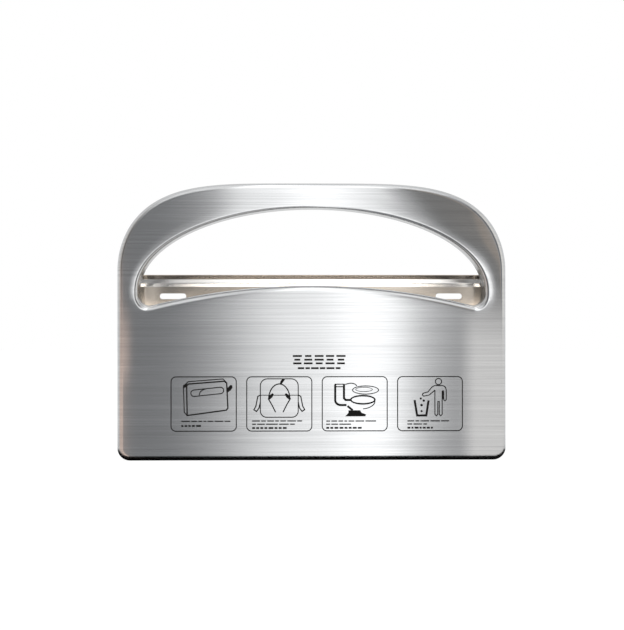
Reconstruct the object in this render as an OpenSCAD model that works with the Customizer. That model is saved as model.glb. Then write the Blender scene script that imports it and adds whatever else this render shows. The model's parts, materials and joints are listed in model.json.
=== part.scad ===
// Wall-hung dispenser for flat paper seat covers: a drawn sheet-steel shell over a slotted wall plate.
// Millimetres. X runs to the right, the room is at -Y and Z is up. The wall is the plane y = 0,
// and the origin is the centre of the four screw slots on that plane.

/* [Shell] */
// Width over the side walls
shell_w = 400; // [380:5:420]
// Height from the bottom wall to the crown
shell_h = 285; // [275:5:305]
// Depth from the wall to the front face
shell_d = 50; // [44:1:60]
// Thickness of the shell's sheet
sheet_t = 1; // [0.8:0.1:1.2]
// Rounding between the front face and the walls
edge_r = 6; // [5:0.5:10]
// Radius of the two bottom corners seen from the front
bottom_corner_r = 13; // [11:1:18]
// Height of the rounded shoulders and crown above the straight sides
shoulder_h = 90; // [80:2:100]
// Squareness of the shoulders: 1 is an ellipse, less is squarer
shoulder_exp = 0.444; // [0.4:0.01:0.55]

/* [Window] */
// Height of the band over the window at its middle
arch_h = 25.5; // [22:0.5:30]
// Width of the band beside the window at its narrowest
stile_w = 21.5; // [20:0.5:28]
// Height of the window at its middle
window_h = 79.7; // [72:0.1:86]
// Height of the window's elliptic arch above its widest line
window_rise = 84.5; // [80:0.5:88]
// Radius of the bowed sill
sill_r = 680; // [600:10:900]
// Radius of the window's lower corners
window_corner_r = 11; // [9:0.5:14]
// Rounding of the lip that is turned in around the window
lip_r = 5; // [4:0.5:7]
// Depth of the turned-in lip behind the front face
lip_d = 24; // [16:1:28]

/* [Loading slot] */
// Width of the cut-out in the bottom wall through which a pack is loaded
load_w = 330; // [280:5:340]
// Depth of the bottom wall that is left in front of the cut-out
load_lip = 22; // [16:1:26]
// Length of the slope at each end of the cut-out
load_ramp = 10; // [6:1:10]

/* [Wall plate] */
// Thickness of the wall plate
plate_t = 1; // [0.8:0.1:1.2]
// Gap between the plate's side flanges and the shell where they are spot-welded
weld_gap = 0.1; // [0.05:0.05:0.2]
// Height of the plate's top edge over the middle of the sill
plate_over_sill = 12; // [10:0.5:13]
// Height of the plate's bottom edge over the bottom wall
plate_foot = 16; // [14:1:22]
// Depth of the side flanges
flange_d = 15; // [10:1:18]
// Inside radius of the flange bends
bend_r = 1.5; // [1:0.5:2.5]
// Height left free of flange above and below it
flange_end = 8; // [6:1:12]
// Width of the relief cut at each end of a flange
relief_w = 2; // [1.5:0.5:3]
// Height of the strip above the stiffening bead
bead_strip = 4; // [3:0.5:6]
// How far the strip's top edge leans forward
strip_lean = 2; // [0.5:0.5:3]
// Height of the stiffening bead
bead_h = 8.5; // [7:0.5:10]
// How far the bead stands forward
bead_d = 1.75; // [1.25:0.25:3]

/* [Screw slots] */
// Width of a screw slot
slot_w = 6; // [5:0.5:7]
// Length of a screw slot from end to end
slot_len = 28; // [20:1:32]
// Distance from the plate's side edge to a slot's middle
slot_inset = 51.9; // [45:0.1:60]
// Distance from the plate's top edge down to the upper slots
slot_drop = 22.3; // [20:0.1:26]
// Distance from the plate's bottom edge up to the lower slots
slot_foot = 16; // [12:1:24]

/* [Print] */
// Thickness of the printed ink
ink_t = 0.2; // [0.1:0.05:0.3]
// Sideways shift of the whole print from the middle
print_shift = 5; // [-5:1:8]
// Height of the panels' lower edge over the bottom wall
panel_z = 30; // [24:1:40]
// Width of one panel
panel_w = 67.7; // [66:0.1:70]
// Height of one panel
panel_h = 56.6; // [55:0.1:60]
// Gap between two panels
panel_gap = 9.7; // [6:0.1:12]
// Corner radius of a panel
panel_r = 5.5; // [4:0.5:7]
// Width of a fine printed line
line_w = 1; // [0.7:0.1:1.2]
// Width of a bold printed line
bold_w = 2.2; // [1.5:0.1:2.6]
// Size of one block in the heading row
heading_block = 9.4; // [8:0.2:10]
// Pitch of the blocks in the heading row
heading_pitch = 11.2; // [10.6:0.1:12.5]
// Height of the heading row's middle over the panels
heading_over = 17; // [16:0.5:24]
// Height of the small line's middle over the panels
subheading_over = 8.3; // [6:0.1:10]
// Shift of the heading from the middle of the panels
heading_shift = 2.2; // [-4:0.2:4]
// Height of a fine caption row
caption_h = 1.2; // [1:0.1:1.5]
// Height of the last, heavier caption row
caption_bold_h = 1.9; // [1.6:0.1:2.2]
// Gap between two caption dashes
caption_gap = 1.2; // [0.8:0.1:1.6]

/* [Hidden] */

steel = "#B9BABB";
warm_steel = "#C9BFB3";
ink = "#14110F";

// Segments along each stretch of half an outline, shared by the shell's edge and the window
n_bottom = 8;
n_corner = 6;
n_side = 3;
n_top = 20;
// Segments in the visible and in the hidden side of a rounded edge
n_round = 6;
n_round_in = 4;

half_w = shell_w / 2;
shoulder_z = shell_h - shoulder_h;
window_a = half_w - stile_w;
window_line_z = shell_h - arch_h - window_rise;
sill_z = shell_h - arch_h - window_h;
sill_centre_z = sill_z - sill_r;
window_corner_z = sill_centre_z
    + sqrt(pow(sill_r + window_corner_r, 2) - pow(window_a - window_corner_r, 2));
sill_end_angle = atan2(window_corner_z - sill_centre_z, window_a - window_corner_r);

plate_w = shell_w - 2 * (sheet_t + weld_gap);
plate_top_z = sill_z + plate_over_sill;
bead_z = plate_top_z - bead_strip - bead_h;
flange_z0 = plate_foot + flange_end;
flange_z1 = bead_z - flange_end;
slot_x = plate_w / 2 - slot_inset;
slot_z_high = plate_top_z - slot_drop;
slot_z_low = plate_foot + slot_foot;
mount_z = (slot_z_high + slot_z_low) / 2;

print_w = 4 * panel_w + 3 * panel_gap;
print_x = print_shift - print_w / 2;
panel_top_z = panel_z + panel_h;

// Points of an elliptic arc in a plane
function arc(centre, radii, from, to, n) =
    [for (i = [0:n]) let (a = from + (to - from) * i / n)
        [centre[0] + radii[0] * cos(a), centre[1] + radii[1] * sin(a)]];

// Unit vector across the line from a to b
function normal(a, b) = [a[1] - b[1], b[0] - a[0]] / norm(b - a);

// Mitred vector across the path at point i, which keeps the strip's width along both of its neighbours
function across(path, i) =
    let (
        last = len(path) - 1,
        here = normal(path[max(i - 1, 0)], path[max(i, 1)]),
        next = normal(path[min(i, last - 1)], path[min(i + 1, last)])
    ) (here + next) / (1 + here * next);

// Outline of a strip of constant width that follows an open path
function ribbon(path, width) = concat(
    [for (i = [0:len(path) - 1]) path[i] + across(path, i) * width / 2],
    [for (i = [len(path) - 1:-1:0]) path[i] - across(path, i) * width / 2]
);

// Depth of the shell's rear edge at x along the bottom: the cut-out slopes back to the wall at its ends
function bottom_rear_y(x) =
    let (past = (abs(x) - load_w / 2) / load_ramp)
    -(shell_d - load_lip) * (1 - min(max(past, 0), 1));

// Places along the bottom wall at which the cut-out starts, slopes and ends
bottom_x = concat(
    [for (i = [0:3]) load_w / 2 * i / 3],
    [for (i = [1:2]) load_w / 2 + load_ramp * i / 2],
    [for (i = [1:3]) let (from = load_w / 2 + load_ramp)
        from + (half_w - bottom_corner_r - from) * i / 3]
);

// Half outlines, each point as [x, z, outward x, outward z, rear y]
outer_half = concat(
    [for (x = bottom_x) [x, 0, 0, -1, bottom_rear_y(x)]],
    [for (i = [1:n_corner]) let (a = 270 + 90 * i / n_corner)
        [half_w - bottom_corner_r * (1 - cos(a)), bottom_corner_r * (1 + sin(a)), cos(a), sin(a), 0]],
    [for (i = [1:n_side])
        [half_w, bottom_corner_r + (shoulder_z - bottom_corner_r) * i / n_side, 1, 0, 0]],
    [for (i = [1:n_top]) let (
            a = 90 * i / n_top,
            across_x = shoulder_h * pow(cos(a), 2 - shoulder_exp),
            across_z = half_w * shoulder_exp * sin(a),
            size = norm([across_x, across_z])
        )
        [half_w * pow(cos(a), shoulder_exp), shoulder_z + shoulder_h * sin(a),
            across_x / size, across_z / size, 0]]
);

window_half = concat(
    [for (i = [0:n_bottom]) let (a = 90 - (90 - sill_end_angle) * i / n_bottom)
        [sill_r * cos(a), sill_centre_z + sill_r * sin(a), -cos(a), -sin(a)]],
    [for (i = [1:n_corner]) let (a = sill_end_angle - 180 + (180 - sill_end_angle) * i / n_corner)
        [window_a - window_corner_r * (1 - cos(a)), window_corner_z + window_corner_r * sin(a),
            cos(a), sin(a)]],
    [for (i = [1:n_side])
        [window_a, window_corner_z + (window_line_z - window_corner_z) * i / n_side, 1, 0]],
    [for (i = [1:n_top]) let (
            a = 90 * i / n_top,
            size = norm([window_rise * cos(a), window_a * sin(a)])
        )
        [window_a * cos(a), window_line_z + window_rise * sin(a),
            window_rise * cos(a) / size, window_a * sin(a) / size]]
);

// The full loop: the right half, then its mirror image back down the left
function full_loop(half) = concat(
    half,
    [for (i = [len(half) - 2:-1:1]) let (p = half[i]) [-p[0], p[1], -p[2], p[3], p[4]]]
);

// One loop of the shell's skin: an outline moved by shift along its outward direction, at depth y
function skin(loop, shift, y) = [for (p = loop) [p[0] + shift * p[2], y, p[1] + shift * p[3]]];

// The loop at the shell's rear edge, which steps forward at the cut-out
function rear(loop, shift) = [for (p = loop) [p[0] + shift * p[2], p[4], p[1] + shift * p[3]]];

// Loops around a rounded edge of radius r whose centre line lies reach inside the outline
function rounded(loop, reach, r, side, from, to, n) =
    [for (i = [0:n]) let (a = from + (to - from) * i / n)
        skin(loop, side * (reach - r * cos(a)), -shell_d + reach - r * sin(a))];

outer_loop = full_loop(outer_half);
window_loop = full_loop(window_half);

// The skin's loops in order: outer wall and edge, front face, lip, then back along the inside
shell_loops = concat(
    [rear(outer_loop, 0)],
    rounded(outer_loop, edge_r, edge_r, -1, 0, 90, n_round),
    rounded(window_loop, lip_r, lip_r, 1, 90, 0, n_round),
    [skin(window_loop, 0, lip_d - shell_d)],
    [skin(window_loop, sheet_t, lip_d - shell_d)],
    rounded(window_loop, lip_r, lip_r - sheet_t, 1, 0, 90, n_round_in),
    rounded(outer_loop, edge_r, edge_r - sheet_t, -1, 90, 0, n_round_in),
    [rear(outer_loop, -sheet_t)]
);

// A closed skin through loops of equal length, the last loop joined to the first
module closed_skin(loops) {
    count = len(loops);
    size = len(loops[0]);
    polyhedron(
        points = [for (loop = loops) each loop],
        faces = [for (k = [0:count - 1]) for (i = [0:size - 1]) let (
                a = k * size + i,
                b = k * size + (i + 1) % size,
                c = (k + 1) % count * size + (i + 1) % size,
                d = (k + 1) % count * size + i
            ) each [[a, b, c], [a, c, d]]],
        convexity = 10
    );
}

// Moves a piece measured from the middle of the bottom wall to the screw slots' centre
module from_bottom() {
    translate([0, 0, -mount_z]) children();
}

// A screw slot through the wall plate, with true round ends
module screw_slot(x, z) {
    straight = slot_len - slot_w;
    translate([x, plate_t, z]) rotate([90, 0, 0]) {
        for (side = [-1, 1])
            translate([side * straight / 2, 0, 0]) cylinder(h = 3 * plate_t, d = slot_w, $fn = 48);
        translate([-straight / 2, -slot_w / 2, 0]) cube([straight, slot_w, 3 * plate_t]);
    }
}

// The flat plate with its stiffening bead and the leaning strip over it, as one bent section along x
module plate_sheet() {
    n_bead = 14;
    bead = [for (i = [0:n_bead])
        [-plate_t / 2 - bead_d * (1 - cos(360 * i / n_bead)) / 2, bead_z + bead_h * i / n_bead]];
    section = concat([[-plate_t / 2, plate_foot]], bead, [[-plate_t / 2 - strip_lean, plate_top_z]]);
    translate([-plate_w / 2, 0, 0]) rotate([90, 0, 90])
        linear_extrude(plate_w) polygon(ribbon(section, plate_t));
}

// Space that the right-hand flange's bend and relief cuts take out of the flat plate
module flange_cut() {
    bend = bend_r + plate_t;
    translate([plate_w / 2 - bend, -2 * plate_t, flange_z0 - relief_w])
        cube([bend + plate_t, 3 * plate_t, flange_z1 - flange_z0 + 2 * relief_w]);
}

// The right-hand side flange, bent forward from the plate against the shell's wall
module side_flange() {
    bend = bend_r + plate_t;
    edge = plate_w / 2;
    path = concat(
        [[edge - bend - plate_t, -plate_t / 2]],
        arc([edge - bend, -bend], [bend - plate_t / 2, bend - plate_t / 2], 90, 0, n_round),
        [[edge - plate_t / 2, -flange_d]]
    );
    translate([0, 0, flange_z0]) linear_extrude(flange_z1 - flange_z0)
        polygon(ribbon(path, plate_t));
}

module front_shell() {
    color(steel) from_bottom() closed_skin(shell_loops);
}

module back_plate() {
    color(warm_steel) from_bottom() {
        difference() {
            plate_sheet();
            for (side = [0, 1]) mirror([side, 0, 0]) flange_cut();
            for (x = [-slot_x, slot_x]) for (z = [slot_z_low, slot_z_high]) screw_slot(x, z);
        }
        for (side = [0, 1]) mirror([side, 0, 0]) side_flange();
    }
}

// Lays a flat print on the front face, drawn as seen from the room with the bottom middle as its origin
module printed() {
    color(ink) from_bottom() translate([0, -shell_d, 0]) rotate([90, 0, 0])
        linear_extrude(ink_t) children();
}

module rounded_plate(w, h, r) {
    translate([r, 0]) square([w - 2 * r, h]);
    translate([0, r]) square([w, h - 2 * r]);
    for (x = [r, w - r]) for (y = [r, h - r]) translate([x, y]) circle(r, $fn = 48);
}

module stroke(path, width = line_w) {
    polygon(ribbon(path, width));
}

// A line around a closed path, whose last point isn't the first again
module closed_stroke(path, width = line_w) {
    n = len(path);
    sides = [for (i = [0:n - 1]) across([path[(i + n - 1) % n], path[i], path[(i + 1) % n]], 1)];
    difference() {
        polygon([for (i = [0:n - 1]) path[i] - sides[i] * width / 2]);
        polygon([for (i = [0:n - 1]) path[i] + sides[i] * width / 2]);
    }
}

// A closed line drawn as the band between two copies of an ellipse
module oval(centre, radii, width = line_w) {
    grow = [width / 2, width / 2];
    difference() {
        polygon(arc(centre, radii + grow, 0, 345, 23));
        polygon(arc(centre, radii - grow, 0, 345, 23));
    }
}

// Length taken up by the dashes before dash i
function dashes_before(lengths, i) =
    i == 0 ? 0 : dashes_before(lengths, i - 1) + lengths[i - 1] + caption_gap;

// A row of plain dashes that stands where a caption would be
module dashes(at, lengths, height) {
    for (i = [0:len(lengths) - 1])
        translate([at[0] + dashes_before(lengths, i), at[1] - height / 2])
            square([lengths[i], height]);
}

// One panel's rounded border, caption and figure; rows lists each row's height and dash lengths
module panel(index, caption_x, rows) {
    translate([print_x + index * (panel_w + panel_gap), panel_z]) {
        difference() {
            rounded_plate(panel_w, panel_h, panel_r);
            translate([line_w, line_w])
                rounded_plate(panel_w - 2 * line_w, panel_h - 2 * line_w, panel_r - line_w);
        }
        for (i = [0:len(rows) - 1])
            dashes([caption_x, rows[i][0]], rows[i][1], i == len(rows) - 1 ? caption_bold_h : caption_h);
        children();
    }
}

// Five stacks of short bars over a row of dashes
module heading_print() {
    widths = [[8.6, 6, 9.4], [9, 8, 6.6], [7, 9.4, 9], [9.4, 7, 8.4], [8, 6.6, 9.4]];
    small_row = [6.6, 4.6, 7.8, 5.6, 8.2, 5];
    bar = heading_block / 5;
    middle = print_shift + heading_shift;
    small_w = dashes_before(small_row, len(small_row)) - caption_gap;
    printed() {
        for (i = [0:4]) for (row = [0:2])
            translate([middle + (i - 2) * heading_pitch - widths[i][row] / 2,
                    panel_top_z + heading_over - heading_block / 2 + 2 * row * bar])
                square([widths[i][row], bar]);
        dashes([middle - small_w / 2, panel_top_z + subheading_over], small_row, caption_bold_h);
    }
}

// Step one: a box seen at an angle, with a sheet showing in its opening
module take_panel_print() {
    front = [[17, 16.6], [57, 22], [58.6, 24], [57.4, 49.6], [55, 51.6], [18.2, 48.8], [16.4, 46.8]];
    opening = concat(arc([51, 42.2], [3.3, 3.3], -86, 94, 8), arc([24, 39.4], [3.3, 3.3], 94, 274, 8));
    printed() panel(0, 11, [[10.6, [9, 6, 4, 3, 6, 9, 6]], [5.9, [2.2, 2.6, 2.4, 3, 5]]]) {
        closed_stroke(front, 1.4 * line_w);
        stroke([[16.2, 46.4], [13.2, 45], [14, 20], [17, 16.6]]);
        stroke([[13.4, 46.6], [18, 51.2], [53.6, 54], [57.6, 49.8]]);
        polygon([[12.5, 44.2], [12.8, 47.6], [16.8, 50.2], [17.4, 47.4], [15.8, 45.6]]);
        closed_stroke(opening);
        stroke(arc([38.4, 37.8], [9, 6.2], 182, 104, 8));
        polygon([[57.8, 39.8], [61.4, 42.2], [63.3, 45], [63.1, 47.4], [61.3, 47.8], [58, 44.6]]);
    }
}

// Step two: a cover with its inner ring, held by a hand at each side
module lay_panel_print() {
    mid = panel_w / 2;
    half_cover = concat([[0, 54]], arc([12.4, 47], [7, 7], 90, 0, 6), [[19.4, 23]],
        arc([13, 21], [6.4, 6.4], 0, -90, 6), [[0, 14.6]]);
    hand = [[19.4, 37.4], [22, 36], [23, 31], [24, 26], [26, 22.4], [23.4, 20.6], [20.8, 24], [19.4, 30]];
    printed() panel(1, 6, [[10.8, [8, 5, 7, 4, 6, 9, 5]], [7.5, [4, 8, 12, 10, 5]],
            [3.6, [3, 3, 3, 3, 5, 3, 3, 4]]]) {
        for (side = [0, 1]) translate([mid, 0]) mirror([side, 0]) {
            stroke(half_cover);
            stroke(hand, 1.2 * line_w);
            stroke([[0, 37.2], [19.4, 37.2]], 0.7 * line_w);
            stroke([[10.9, 33], [7.4, 27], [3.8, 19.8]], 1.2 * line_w);
            polygon([[5.6, 38.2], [7, 39.4], [9.4, 37.6], [12.1, 33.2], [10.1, 32.6], [7.2, 35]]);
        }
        stroke(arc([mid, 33], [10.9, 15.8], 0, 180, 16), 1.2 * line_w);
        polygon([[mid + 0.4, 48.6], [mid + 2.6, 48.8], [mid + 5.8, 53.2], [mid + 3.6, 54.3], [mid + 1.2, 51.6]]);
    }
}

// Step three: a bowl and cistern seen from the side, with a cover over it
module flush_panel_print() {
    printed() panel(2, 4.6, [[10.6, [4, 6, 5, 3, 6, 9, 11]], [7.4, [4, 7, 12]],
            [3.6, [3, 3, 4, 4, 3, 3, 4, 4]]]) {
        stroke(concat([[13.8, 48]], arc([19.6, 32], [5.8, 5], 180, 270, 6), [[25.4, 27]]), bold_w);
        stroke([[22.8, 48], [22.8, 34], [24.4, 32.2], [30, 32.2]], bold_w);
        stroke([[13.2, 48.4], [23.6, 48.4]]);
        stroke([[13.2, 45.8], [23.6, 45.8]]);
        stroke(concat([[24, 48.2]], arc([30, 46.4], [5.8, 3], 110, 0, 5)));
        oval([42.2, 32.4], [12.4, 4.2], 1.7 * line_w);
        stroke(arc([40.8, 31.4], [14, 8.4], -4, -84, 8));
        stroke([[26.4, 26], [31.8, 21.6]], bold_w);
        polygon([[27.4, 21.6], [39.4, 21.6], [41, 19], [45.6, 17.4], [44.6, 15.4], [24, 15.4], [27.4, 19]]);
        oval([45, 42.4], [13.4, 4.2]);
        oval([43.4, 43], [8.6, 2.2], 0.7 * line_w);
    }
}

// Step four: a figure that drops a used cover into a bin
module bin_panel_print() {
    legs = [[46.4, 41.5], [46.4, 17.4], [44.9, 15.8], [43.4, 17.4], [43.4, 30.4], [41.9, 30.4],
        [41.9, 17.4], [40.4, 15.8], [38.9, 17.4], [38.9, 42.2]];
    arms = [[48, 41.5], [48, 32.4], [49.3, 31.2], [50.6, 32.4], [50.6, 42.6], [49.8, 45.2], [47.4, 46.8],
        [38.4, 46.8], [35.6, 45], [31.6, 40.2], [26.6, 38.9], [25.9, 37.2], [27.2, 36], [33.2, 37.2],
        [38.9, 42.2]];
    printed() panel(3, 10.6, [[10.6, [7, 4, 9, 10, 8]], [7.4, [5, 9, 4]],
            [3.6, [3, 2, 4, 2, 3, 3, 2]]]) {
        stroke(legs);
        stroke(arms);
        polygon([[46.2, 41.8], [48.2, 41.8], [48.2, 32.6], [46.2, 33.4]]);
        oval([42.6, 51], [3.2, 3.2]);
        stroke([[18, 32], [20.6, 16.2], [30, 16.2], [32.4, 31.6]], bold_w);
        for (spot = [[25.2, 26.8, 1.3], [25.2, 20.6, 1.1], [27.4, 31.4, 1.2], [24.4, 33.6, 1.1]])
            translate([spot[0], spot[1]]) circle(spot[2], $fn = 24);
    }
}

front_shell();
back_plate();
heading_print();
take_panel_print();
lay_panel_print();
flush_panel_print();
bin_panel_print();
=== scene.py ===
"""Wall-hung dispenser for folded paper toilet seat covers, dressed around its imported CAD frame.

The real thing is two pieces of brushed stainless steel sheet with a screen print on the front: a drawn shell with a
wide arched window and a flat wall plate with a pressed bead and four screw slots. Sizes are in millimetres above the
bottom wall, as on a drawing, and become metres in the part's own frame where a mesh is placed.
"""

from __future__ import annotations

import json
import logging
import math
from collections.abc import Callable, Sequence
from dataclasses import dataclass
from enum import Enum
from typing import Any

import bmesh
import bpy
from mathutils import Euler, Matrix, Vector

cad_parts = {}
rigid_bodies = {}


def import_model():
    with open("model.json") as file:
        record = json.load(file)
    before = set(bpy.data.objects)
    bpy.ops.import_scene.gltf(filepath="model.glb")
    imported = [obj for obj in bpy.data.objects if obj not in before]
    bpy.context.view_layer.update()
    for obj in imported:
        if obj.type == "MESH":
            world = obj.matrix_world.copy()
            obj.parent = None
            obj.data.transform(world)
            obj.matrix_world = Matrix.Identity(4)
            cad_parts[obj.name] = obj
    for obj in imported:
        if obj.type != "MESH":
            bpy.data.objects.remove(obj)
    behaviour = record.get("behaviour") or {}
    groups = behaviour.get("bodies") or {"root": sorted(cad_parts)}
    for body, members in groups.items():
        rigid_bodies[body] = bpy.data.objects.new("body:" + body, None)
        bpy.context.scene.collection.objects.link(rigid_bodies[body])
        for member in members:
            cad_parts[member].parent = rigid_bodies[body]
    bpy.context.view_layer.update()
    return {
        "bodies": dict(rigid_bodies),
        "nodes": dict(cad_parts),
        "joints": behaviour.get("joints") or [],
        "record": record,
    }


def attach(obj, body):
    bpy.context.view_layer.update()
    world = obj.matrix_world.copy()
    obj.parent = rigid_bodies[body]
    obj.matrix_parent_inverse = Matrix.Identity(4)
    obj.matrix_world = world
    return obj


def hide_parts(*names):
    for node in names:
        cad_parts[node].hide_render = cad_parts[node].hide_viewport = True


LOG = logging.getLogger("dispenser")

MM = 0.001
CLOSE = 1e-6  # places less than this apart, in metres, are one place
DATUM = 100.75  # height of the screw slots' centre, the frame's origin, above the bottom wall
BODY = "root"
PRINT_NODES = (
    "heading_print",
    "take_panel_print",
    "lay_panel_print",
    "flush_panel_print",
    "bin_panel_print",
)
CUT_EDGE_BEND = 50  # degrees; a sharper bend is a cut edge, which is deburred
SMOOTH_BEND = 40  # degrees; a softer bend is shaded smooth
FLAT_WEIGHT = 60  # how strongly the flat faces lead the shading

Colour = tuple[float, float, float, float]
Socket = bpy.types.NodeSocket
Tree = bpy.types.NodeTree


def at(x: float, y: float, z: float) -> Vector:
    """Turn a place on the drawing into metres in the part's frame.

    Args:
        x: Distance to the right of the middle, in mm.
        y: Distance behind the wall's plane, in mm, so the room is negative.
        z: Height above the bottom wall, in mm.

    Returns:
        The point in the part's frame.
    """
    return Vector((x * MM, y * MM, (z - DATUM) * MM))


def linear(hex_colour: str) -> Colour:
    """Turn an sRGB hex colour into the linear values that a shader takes.

    Args:
        hex_colour: Six hex digits after a hash sign.

    Returns:
        Red, green, blue and full alpha.
    """
    parts = [int(hex_colour[i : i + 2], 16) / 255 for i in (1, 3, 5)]
    red, green, blue = (c / 12.92 if c <= 0.04045 else ((c + 0.055) / 1.055) ** 2.4 for c in parts)
    return red, green, blue, 1.0


def add_node(tree: Tree, kind: str, inputs: dict[int | str, Any] | None = None, **settings: Any) -> bpy.types.Node:
    """Add one shader node with its settings, values and links.

    Args:
        tree: The node tree that gets the node.
        kind: The node's type name.
        inputs: Input name or number to a value, or to the socket that feeds it.
        **settings: Properties of the node itself.

    Returns:
        The new node.
    """
    node = tree.nodes.new(kind)
    for name, value in settings.items():
        setattr(node, name, value)
    for key, value in (inputs or {}).items():
        if isinstance(value, Socket):
            tree.links.new(value, node.inputs[key])
        else:
            node.inputs[key].default_value = value
    return node


def new_material(name: str) -> tuple[bpy.types.Material, Tree]:
    """Make a material that has no nodes yet.

    Args:
        name: The material's name.

    Returns:
        The material and its node tree.
    """
    material = bpy.data.materials.new(name)
    material.use_nodes = True
    material.node_tree.nodes.clear()
    return material, material.node_tree


def soft_band(
    tree: Tree, value: Socket, middle: float, full: float, empty: float, fade: str = "SMOOTHSTEP"
) -> Socket:
    """Mask a band of values with soft edges.

    Args:
        tree: The node tree that gets the mask.
        value: What the band is measured in.
        middle: The band's middle.
        full: How far from the middle the mask is still 1.
        empty: How far from the middle it has come down to 0.
        fade: The interpolation between the two.

    Returns:
        The mask.
    """
    off = add_node(tree, "ShaderNodeMath", {0: value, 1: middle}, operation="SUBTRACT").outputs[0]
    away = add_node(tree, "ShaderNodeMath", {0: off}, operation="ABSOLUTE").outputs[0]
    limits = {"Value": away, "From Min": empty, "From Max": full}
    return add_node(tree, "ShaderNodeMapRange", limits, interpolation_type=fade).outputs[0]


def soft_patch(tree: Tree, *bands: tuple[Socket, float, float, float]) -> Socket:
    """Mask the patch where two soft-edged bands cross.

    Args:
        tree: The node tree that gets the mask.
        *bands: The value, middle, full and empty of each band, as soft_band takes them.

    Returns:
        The mask.
    """
    across, along = (soft_band(tree, *band) for band in bands)
    return add_node(tree, "ShaderNodeMath", {0: across, 1: along}, operation="MULTIPLY").outputs[0]


# Workbench: what the hands do at the modelling bench


class Part(Enum):
    """What is picked out of a mesh, each named as its selection mode."""

    VERT = "verts"
    EDGE = "edges"
    FACE = "faces"


def deselect_all() -> None:
    """Let go of every object."""
    if bpy.context.object is not None and bpy.context.object.mode != "OBJECT":
        bpy.ops.object.mode_set(mode="OBJECT")
    bpy.ops.object.select_all(action="DESELECT")


def hold(*objects: bpy.types.Object) -> None:
    """Select these objects alone and make the first one active."""
    deselect_all()
    for obj in objects:
        obj.select_set(True)
    bpy.context.view_layer.objects.active = objects[0]


def pick(obj: bpy.types.Object, part: Part, test: Callable[[Any], bool]) -> None:
    """Select parts of the mesh in edit mode by a test of their place, after letting go of the rest.

    Args:
        obj: The object in edit mode.
        part: Which parts are tested.
        test: Says whether one is taken.
    """
    bpy.ops.mesh.select_all(action="DESELECT")
    bpy.ops.mesh.select_mode(type=part.name)
    mesh = bmesh.from_edit_mesh(obj.data)
    for taken in [one for one in getattr(mesh, part.value) if test(one)]:
        taken.select_set(True)
    mesh.select_flush_mode()
    bmesh.update_edit_mesh(obj.data)


def draw_out(x: float, y: float, z: float) -> None:
    """Draw the picked edges out into new sheet, by a step in metres."""
    bpy.ops.mesh.extrude_edges_move(TRANSFORM_OT_translate={"value": (x, y, z)})


def finish_with(obj: bpy.types.Object, kind: str, **settings: Any) -> None:
    """Add a modifier to the object and apply it.

    Args:
        obj: The object that is finished.
        kind: The modifier's type name.
        **settings: The modifier's properties.
    """
    hold(obj)
    modifier = obj.modifiers.new(kind.lower(), kind)
    for name, value in settings.items():
        setattr(modifier, name, value)
    bpy.ops.object.modifier_apply(modifier=modifier.name)


def thicken(obj: bpy.types.Object, sheet: float) -> None:
    """Give a bare surface the thickness of its sheet, in mm, behind the side that faces the room."""
    finish_with(obj, "SOLIDIFY", thickness=sheet * MM, offset=-1.0, use_even_offset=True, use_quality_normals=True)


def deburr(obj: bpy.types.Object, width: float) -> None:
    """Take the burr off the cut edges and shade the bends smooth, with flat faces kept flat.

    Args:
        obj: The sheet.
        width: How wide the deburred edges are, in mm.
    """
    bend = math.radians(CUT_EDGE_BEND)
    finish_with(obj, "BEVEL", width=width * MM, segments=2, limit_method="ANGLE", angle_limit=bend)
    bpy.ops.object.shade_smooth_by_angle(angle=math.radians(SMOOTH_BEND))
    finish_with(obj, "WEIGHTED_NORMAL", keep_sharp=True, weight=FLAT_WEIGHT)


def face_room(obj: bpy.types.Object, y: float) -> None:
    """Turn the mesh so that its faces at one depth look at the room.

    Args:
        obj: The object in edit mode.
        y: The depth of the faces that are looked at, in metres.
    """
    bpy.ops.mesh.select_all(action="SELECT")
    bpy.ops.mesh.normals_make_consistent(inside=False)
    mesh = bmesh.from_edit_mesh(obj.data)
    lean = sum(f.normal.y * f.calc_area() for f in mesh.faces if abs(f.calc_center_median().y - y) < CLOSE)
    if lean > 0:
        bpy.ops.mesh.flip_normals()


def dress(obj: bpy.types.Object, material: bpy.types.Material) -> None:
    """Give the object one material in place of any it has."""
    obj.data.materials.clear()
    obj.data.materials.append(material)


# Finishes


@dataclass(frozen=True)
class Dent:
    """A soft-edged place where the sheet isn't quite flat, so that it mirrors the room a little to one side.

    For each direction it has its middle, half its size and half the width of its soft edge, in mm.
    """

    x: float
    half_x: float
    edge_x: float
    z: float
    half_z: float
    edge_z: float
    turn: float  # degrees that the sheet faces further to the right
    lean: float = 0.0  # mm that the place moves to the left for each mm up


@dataclass(frozen=True)
class PaintedLightBand:
    """A level strip of the sheet whose colour is painted lighter or darker, as painted highlight or painted shade."""

    z: float
    half_z: float
    edge_z: float
    colour: str


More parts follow.
